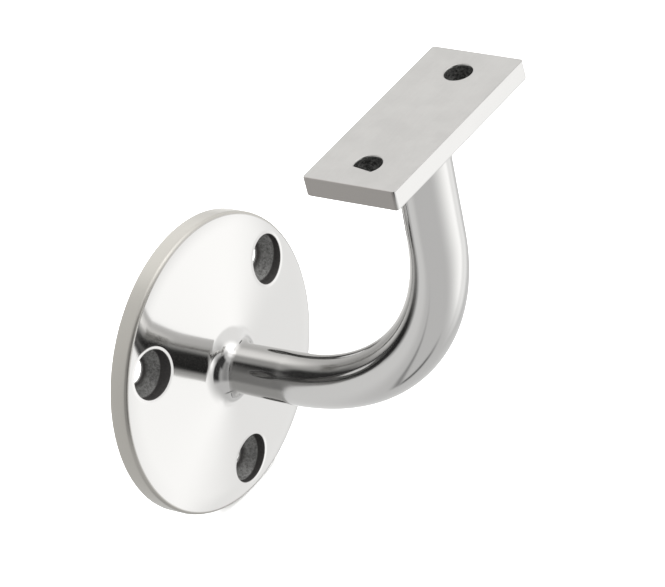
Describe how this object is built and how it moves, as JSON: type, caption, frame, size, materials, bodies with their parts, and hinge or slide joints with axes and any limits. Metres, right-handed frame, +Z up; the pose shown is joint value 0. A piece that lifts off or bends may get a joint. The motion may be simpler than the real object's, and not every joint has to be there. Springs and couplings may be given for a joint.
{
  "type": "handrail bracket",
  "caption": "Cast, polished handrail bracket: a round wall rose with stepped screw seats, a round swan-neck arm and a flat saddle plate that is screwed under the rail.",
  "frame": {"origin": "centre of the rose's flat back face, where it lies on the wall", "axes": "+X out of the wall, +Y along the handrail, +Z up toward the handrail"},
  "size_m": [0.0955, 0.075, 0.1215],
  "materials": {
    "polished_casting": "mirror polished, with a satin saddle top and rose rim"
  },
  "bodies": {
    "root": {"bracket": "polished_casting"}
  },
  "joints": []
}
